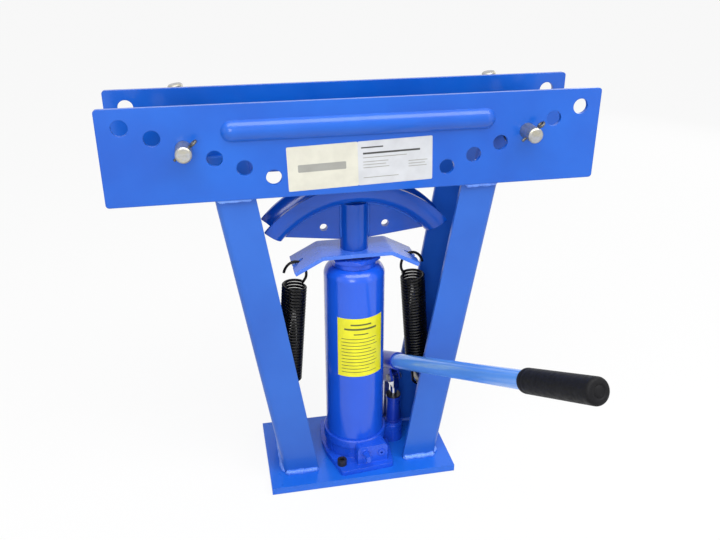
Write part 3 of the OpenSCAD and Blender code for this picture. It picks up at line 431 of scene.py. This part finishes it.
def frame_welds():
    """On each leg two beads under the beams, three round the foot and two inside it."""
    top_out = leg_x(LEG_TOP_Z) - 0.003
    top_in = leg_x(LEG_TOP_Z) - LEG_WIDTH + 0.004
    # The last column is the bead's paint, paler than the frame: painted highlight. The beads under the
    # beams get the palest one, although they sit in shade.
    rows = (
        (top_out, -0.0485, top_in, -0.0485, 0.4110, 3.0, WELD_PALEST_PAINTED_HIGHLIGHT),
        (top_out, 0.0475, top_in, 0.0475, 0.4115, 2.6, WELD_PALEST_PAINTED_HIGHLIGHT),
        (0.1060, -0.0478, 0.0605, -0.0478, FOOT_WELD_Z, 4.2, WELD_BLUE_PAINTED_HIGHLIGHT),
        (0.1060, 0.0478, 0.0605, 0.0478, FOOT_WELD_Z, 4.2, WELD_BLUE_PAINTED_HIGHLIGHT),
        (0.1078, -0.0440, 0.1078, 0.0440, FOOT_WELD_Z, 4.2, WELD_BLUE_PAINTED_HIGHLIGHT),
        (0.0990, 0.0416, 0.0615, 0.0416, INNER_WELD_Z, 2.8, WELD_BLUE_PAINTED_HIGHLIGHT),
        (0.0990, -0.0416, 0.0780, -0.0416, INNER_WELD_Z, 2.4, WELD_BLUE_PAINTED_HIGHLIGHT),
    )
    number = 0
    for s, tag in ((-1, "left"), (1, "right")):
        for x0, y0, x1, y1, z, r, look in rows:
            number += 1
            piece = bead("weld_%s_%d" % (tag, number), (s * x0, y0, z), (s * x1, y1, z), r * MM, look,
                         seed=number * 3.7)
            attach(piece, "frame")


frame_welds()


# Welds on the bending die, whose groove is bent about the point (0, 0, BEND_Z)

DIE_FOOT_Z = 0.321
DIE_HIGH = 0.0906
LIP_R = 0.150
GROOVE_R = 0.146
GROOVE_OUT = 0.026
BEND_Z = DIE_FOOT_Z + DIE_HIGH - LIP_R
ARC_WELD_R = GROOVE_R - GROOVE_OUT + 0.0004
ARC_WELD_Y = 0.0042
ARC_WELD_DEG = 43.0
ARC_WELD_STEPS = 260
POST_WELD_X = 0.0176
POST_WELD_Y = 0.0044
POST_WELD_Z = (0.3355, 0.3800)


def die_welds():
    """Beads along the post and along the underside of the groove, on both faces of the web."""
    low, high = POST_WELD_Z
    r = ARC_WELD_R
    pieces = []
    for s in (-1, 1):
        for side in (-1, 1):
            x = s * POST_WELD_X
            y = side * POST_WELD_Y
            pieces.append(bead("die_post_weld_%d_%d" % (s, side), (x, y, low), (x, y, high),
                               1.7 * MM, FRAME_BLUE, seed=s * 7 + side * 3))
    for side in (-1, 1):
        points = []
        sizes = []
        for i in range(ARC_WELD_STEPS + 1):
            a = math.radians(-ARC_WELD_DEG + 2.0 * ARC_WELD_DEG * i / ARC_WELD_STEPS)
            arc = r * a
            points.append(Vector((r * math.sin(a), side * ARC_WELD_Y, BEND_Z + r * math.cos(a))))
            lump = noise.noise(Vector((arc * LUMPS, side * 4.0, 2.0)))
            ripple = abs(math.sin(arc / RIPPLE * math.pi))
            sizes.append(1.6 * MM * (0.85 + 0.18 * ripple + 0.3 * lump))
        verts, faces = sweep(points, sizes, 10, Vector((0.0, 1.0, 0.0)))
        pieces.append(add_mesh("die_arc_weld_%d" % side, verts, faces, FRAME_BLUE))
    for piece in pieces:
        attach(piece, "die")


die_welds()


# Springs: one round wire from hook to hook

WIRE = 3.6 * MM
COIL_R = 14.7 * MM
HOOK_R = 8.0 * MM
NECK_R = 7.0 * MM
HOOK_HIGH = 18.7 * MM
HOOK_DEEP = 13.4 * MM
LOW = Vector((0.092, 0.0, 0.110))
TOP = Vector((0.07752, 0.0, 0.2875))
NECK_TOP = 0.0135
NECK_LOW = 0.022
COIL_GAP = 0.7 * MM
COIL_STEPS = 24
TURN_TOP = math.radians(50.0)
HOOK_LAST_DEG = 210
JOIN_REACH = 6.0 * MM
SPRING_L = (TOP - LOW).length
TURNS = int((SPRING_L - NECK_TOP - NECK_LOW) / (WIRE + COIL_GAP))


def upper_hook(deg):
    """The upper hook is higher above its centre than it is deep below."""
    a = math.radians(deg)
    tall = HOOK_DEEP if deg > 180 else HOOK_HIGH
    return Vector((COIL_R * math.cos(a), 0.0, SPRING_L + tall * math.sin(a)))


def spring_points():
    """The wire's centreline, with local Z along the spring from the lower hook's centre."""
    low = NECK_LOW
    high = SPRING_L - NECK_TOP
    turn_low = NECK_R / HOOK_R
    pts = []

    def at(a, r, z):
        pts.append(Vector((r * math.cos(a), r * math.sin(a), z)))

    for deg in range(10, -190, -10):
        a = math.radians(deg)
        pts.append(Vector((HOOK_R * math.cos(a), 0.0, HOOK_R * math.sin(a))))
    pts.append(Vector((-HOOK_R, 0.0, (low - NECK_R) * 0.5)))
    for deg in range(0, 90, 10):
        q = math.radians(deg)
        at(math.pi + turn_low * (1 - math.cos(q)), HOOK_R, low - NECK_R * (1 - math.sin(q)))

    angle = 2 * math.pi * TURNS - turn_low - TURN_TOP
    total = int(round(angle / (2 * math.pi) * COIL_STEPS))
    for i in range(total + 1):
        grow = min(1.0, i / (COIL_STEPS * 0.5))
        grow = grow * grow * (3 - 2 * grow)
        at(math.pi + turn_low + angle * i / total, HOOK_R + (COIL_R - HOOK_R) * grow,
           low + (high - low) * i / total)

    last = math.radians(HOOK_LAST_DEG)
    p0 = pts[-1].copy()
    p1 = p0 + JOIN_REACH * Vector((-math.sin(math.pi - TURN_TOP), math.cos(math.pi - TURN_TOP), 0.0))
    p3 = upper_hook(HOOK_LAST_DEG)
    way = Vector((-COIL_R * math.sin(last), 0.0, HOOK_DEEP * math.cos(last))).normalized()
    p2 = p3 + JOIN_REACH * way
    for k in range(1, 8):
        q = k / 8
        m = 1 - q
        pts.append(m * m * m * p0 + 3 * m * m * q * p1 + 3 * m * q * q * p2 + q * q * q * p3)
    for deg in range(HOOK_LAST_DEG, 0, -10):
        pts.append(upper_hook(deg))
    return pts


def springs():
    """Both springs, each stretched between the frame and the ram."""
    lean = math.atan2(LOW.x - TOP.x, TOP.z - LOW.z)
    place = Matrix.Translation(LOW) @ Matrix.Rotation(-lean, 4, "Y")
    base = [place @ p for p in spring_points()]
    for s, tag in ((-1, "left"), (1, "right")):
        pts = [Vector((s * p.x, p.y, p.z)) for p in base]
        verts, faces = sweep(pts, [WIRE / 2] * len(pts), 12, Vector((0.0, 1.0, 0.0)))
        piece = add_mesh(tag + "_wound_spring", verts, faces, SPRING_BLACK)
        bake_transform(piece)
        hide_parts(tag + "_spring")


springs()


# Handle grip

JACK_TURN = math.radians(5.5)
PUMP_X = 0.0578
LEVER_Z = 0.113
BEARING = math.radians(-76.5)
ANGLE = math.radians(25.3)
TUBE_UP = 0.0241
HANDLE_REACH = 0.444
GRIP_L = 0.112
GRIP_R = 0.0135
MOUTH_END = 0.0086
TIP_START = 0.1075


def lever_matrix():
    """Origin at the piston's pin, X along the handle."""
    pump = Matrix.Translation((PUMP_X * math.cos(JACK_TURN), PUMP_X * math.sin(JACK_TURN), LEVER_Z))
    return pump @ Matrix.Rotation(BEARING, 4, "Z") @ Matrix.Rotation(-ANGLE, 4, "Y")


def handle_grip():
    """A moulded grip with a rolled mouth, a groove behind it and a rounded end with a dimple."""
    r = GRIP_R
    place = (lever_matrix() @ Matrix.Translation((HANDLE_REACH - GRIP_L, 0.0, TUBE_UP))
             @ Matrix.Rotation(math.pi / 2, 4, "Y"))
    outline = [(0.0105, 0.0), (0.0118, 0.0), (0.0128, 0.0004), (0.0133, 0.0014), (r, 0.003),
               (r, 0.0062), (0.01325, 0.0070), (0.01325, 0.0078), (r, MOUTH_END)]
    for i in range(1, 24):
        outline.append((r, MOUTH_END + (TIP_START - MOUTH_END) * i / 24))
    for deg in range(0, 91, 10):
        a = math.radians(deg)
        outline.append((r - 0.0040 + 0.0040 * math.cos(a), TIP_START + 0.0042 * math.sin(a)))
    outline += [(0.0085, 0.1119), (0.0070, 0.1118), (0.0064, 0.1110), (0.0058, 0.1110),
                (0.0050, 0.1117), (0.0020, 0.1118), (0.0004, 0.1118)]
    piece = lathe("rubber_grip", outline, place, RUBBER, 72)
    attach(piece, "handle")
    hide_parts("handle_grip")


handle_grip()


# Labels: plain printed panels with generic bars

LABEL_MID = Vector((-0.0015, -0.052, 0.4467))
LABEL_TILT = math.radians(-1.7)
LABEL_HALF = 0.0855
LABEL_SPLIT = -0.0035
LABEL_HIGH = 0.02625
PANEL_LIFT = 0.00012
PRINT_LIFT = 0.00018
TANK_R = 0.040
TANK_SUNK_R = 0.0396


def plate_patch(name, x0, x1, z0, z1, look, lift, radius=0.0015):
    """A thin rounded panel on the front beam plate, turned with the label."""
    turn = Matrix.Translation(LABEL_MID) @ Matrix.Rotation(LABEL_TILT, 4, "Y")
    ring = []
    for cx, cz, start in ((x1 - radius, z1 - radius, 0), (x0 + radius, z1 - radius, 90),
                          (x0 + radius, z0 + radius, 180), (x1 - radius, z0 + radius, 270)):
        for k in range(5):
            a = math.radians(start + 22.5 * k)
            ring.append((cx + radius * math.cos(a), cz + radius * math.sin(a)))
    verts = [turn @ Vector((x, -lift, z)) for x, z in ring]
    verts += [turn @ Vector((x, 0.0005, z)) for x, z in ring]
    count = len(ring)
    faces = [tuple(reversed(range(count)))]
    for k in range(count):
        m = (k + 1) % count
        faces.append((k, m, count + m, count + k))
    piece = add_mesh(name, verts, faces, look, smooth=False)
    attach(piece, "frame")


def front_label():
    """Two panels side by side: a band on the left one, and rows of bars on the right one."""
    split = LABEL_SPLIT
    high = LABEL_HIGH
    plate_patch("label_left", -LABEL_HALF, split, -high, high, CREAM, PANEL_LIFT)
    plate_patch("label_right", split, LABEL_HALF, -high, high, GREY_PAPER, PANEL_LIFT)
    plate_patch("label_band", -LABEL_HALF + 0.012, split - 0.014, -0.0045, 0.0045, PALE_INK,
                PRINT_LIFT, 0.0012)
    rows = (
        (0.0185, 0.004, 0.030, 0.0016), (0.0115, 0.006, 0.074, 0.0022), (0.0065, 0.006, 0.058, 0.0010),
        (0.0015, 0.006, 0.036, 0.0009), (-0.0020, 0.006, 0.033, 0.0009), (-0.0055, 0.006, 0.037, 0.0009),
        (-0.0175, 0.006, 0.048, 0.0009), (-0.0015, 0.060, 0.083, 0.0009), (-0.0048, 0.060, 0.080, 0.0009),
        (-0.0081, 0.060, 0.082, 0.0009),
    )
    for i, (z, x0, x1, h) in enumerate(rows):
        ink = INK if h > 0.001 else PALE_INK
        plate_patch("label_bar_%d" % i, split + x0, split + x1, z - h / 2, z + h / 2, ink,
                    PRINT_LIFT, 0.0003)


front_label()


def tank_patch(name, a0, a1, z0, z1, look, lift):
    """A thin panel bent round the tank; angles are degrees from the front."""
    count = max(2, int(abs(a1 - a0) / 2))
    verts = []
    for r in (TANK_R + lift, TANK_SUNK_R):
        for z in (z0, z1):
            for i in range(count + 1):
                a = math.radians(a0 + (a1 - a0) * i / count)
                verts.append(Vector((r * math.sin(a), -r * math.cos(a), z)))
    n = count + 1
    faces = []
    for i in range(count):
        faces.append((i, i + 1, n + i + 1, n + i))
        faces.append((i, 2 * n + i, 2 * n + i + 1, i + 1))
        faces.append((n + i, n + i + 1, 3 * n + i + 1, 3 * n + i))
    faces.append((0, n, 3 * n, 2 * n))
    faces.append((count, 2 * n + count, 3 * n + count, n + count))
    piece = add_mesh(name, verts, faces, look, smooth=False)
    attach(piece, "frame")


def tank_label():
    """A yellow panel with three headings and eleven thin bars of uneven length."""
    tank_patch("tank_label", -44.0, 50.0, 0.149, 0.236, YELLOW, PANEL_LIFT)
    rows = [(0.2270, -18, 22, 0.0022), (0.2205, -30, 34, 0.0028), (0.2130, -12, 16, 0.0016)]
    ends = (34, 31, 36, 22, 33, 35, 30, 36, 32, 18, 34)
    for i, end in enumerate(ends):
        rows.append((0.2060 - 0.0050 * i, -36, end, 0.0009))
    for i, (z, a0, a1, h) in enumerate(rows):
        tank_patch("tank_bar_%d" % i, a0, a1, z - h / 2, z + h / 2, DARK_INK, PRINT_LIFT)


tank_label()


# Floor, light and camera

WHITE = (1.0, 1.0, 1.0, 1.0)
FLOOR_GREY = (0.80, 0.80, 0.80, 1.0)
FLOOR_GLOW = 0.9
FLOOR_HALF = 14.0
FLOOR_DROP = 0.0002
ROOM_STRENGTH = 0.42

# Name, place, target, height, power and width of each lamp
LAMPS = (
    ("key", (-3.1, -1.5, 0.9), (0.0, 0.0, 0.2), 2.4, 5.0, 1.4),
    ("fill", (1.05, -1.0, 0.8), (0.15, 0.0, 0.35), 1.6, 2.5, 0.5),
    ("front", (-0.55, -1.75, 0.85), (0.15, 0.0, 0.3), 0.8, 10.0, 0.6),
    ("back", (1.6, 1.2, 0.9), (0.1, 0.0, 0.25), 1.4, 8.0, 1.4),
    ("over", (0.25, -0.7, 1.75), (0.25, 0.0, 0.45), 0.9, 33.0, 2.4),
)

CAMERA_AT = (-0.174948, -0.899192, 0.711408)
CAMERA_YAW = math.radians(11.487)
CAMERA_PITCH = math.radians(24.845)
LENS = 38.742


def seen_rays(tree, path):
    """One for rays from the camera, straight or by way of gloss or glass."""
    total = path.outputs["Is Camera Ray"]
    for kind in ("Is Glossy Ray", "Is Transmission Ray"):
        node = tree.nodes.new("ShaderNodeMath")
        node.operation = "MAXIMUM"
        tree.links.new(total, node.inputs[0])
        tree.links.new(path.outputs[kind], node.inputs[1])
        total = node.outputs[0]
    return total


def stage():
    """A white floor that glows for the camera and keeps a trace of shadow."""
    n = Nodes("floor_white")
    n.set(Base_Color=FLOOR_GREY, Roughness=0.9, Specular_IOR_Level=0.1)
    path = n.add("ShaderNodeLightPath")
    glow = n.add("ShaderNodeEmission")
    glow.inputs["Color"].default_value = WHITE
    mixer = n.add("ShaderNodeMixShader")
    seen = n.add("ShaderNodeMath", operation="MULTIPLY")
    seen.inputs[1].default_value = FLOOR_GLOW
    n.link(seen_rays(n.tree, path), seen.inputs[0])
    n.link(seen.outputs[0], mixer.inputs[0])
    n.link(n.shader.outputs[0], mixer.inputs[1])
    n.link(glow.outputs[0], mixer.inputs[2])
    n.link(mixer.outputs[0], n.out.inputs[0])
    size = FLOOR_HALF
    verts = [(-size, -size, 0.0), (size, -size, 0.0), (size, size, 0.0), (-size, size, 0.0)]
    floor = add_mesh("floor", verts, [(0, 1, 2, 3)], n.mat, smooth=False)
    floor.location.z = -FLOOR_DROP


def world():
    """An even white room, dim for the lighting and full white where the camera sees it."""
    studio = bpy.data.worlds.new("studio")
    bpy.context.scene.world = studio
    studio.use_nodes = True
    tree = studio.node_tree
    tree.nodes.clear()
    out = tree.nodes.new("ShaderNodeOutputWorld")
    path = tree.nodes.new("ShaderNodeLightPath")
    mixer = tree.nodes.new("ShaderNodeMixShader")
    tree.links.new(seen_rays(tree, path), mixer.inputs[0])
    for slot, strength in ((1, ROOM_STRENGTH), (2, 1.0)):
        room = tree.nodes.new("ShaderNodeBackground")
        room.inputs["Color"].default_value = WHITE
        room.inputs["Strength"].default_value = strength
        tree.links.new(room.outputs[0], mixer.inputs[slot])
    tree.links.new(mixer.outputs[0], out.inputs[0])


def area_light(name, place, target, height, power, width):
    """A rectangular lamp at place that faces target."""
    data = bpy.data.lights.new(name, "AREA")
    data.shape = "RECTANGLE"
    data.size = width
    data.size_y = height
    data.energy = power
    lamp = bpy.data.objects.new(name, data)
    bpy.context.scene.collection.objects.link(lamp)
    lamp.location = place
    aim = Vector(target) - Vector(place)
    lamp.rotation_euler = aim.to_track_quat("-Z", "Y").to_euler()


def camera():
    """The viewpoint fitted to the object's straight edges, without roll."""
    yaw = CAMERA_YAW
    pitch = CAMERA_PITCH
    ahead = Vector((math.sin(yaw) * math.cos(pitch), math.cos(yaw) * math.cos(pitch), -math.sin(pitch)))
    right = Vector((math.cos(yaw), -math.sin(yaw), 0.0))
    up = right.cross(ahead)
    turn = Matrix((right, up, -ahead)).transposed().to_4x4()
    data = bpy.data.cameras.new("camera")
    data.sensor_fit = "HORIZONTAL"
    data.sensor_width = 36.0
    data.lens = LENS
    data.clip_start = 0.01
    cam = bpy.data.objects.new("camera", data)
    cam.matrix_world = Matrix.Translation(CAMERA_AT) @ turn
    bpy.context.scene.collection.objects.link(cam)
    bpy.context.scene.camera = cam


stage()
world()
for lamp_row in LAMPS:
    area_light(*lamp_row)
camera()

bpy.context.scene.view_settings.view_transform = "Standard"
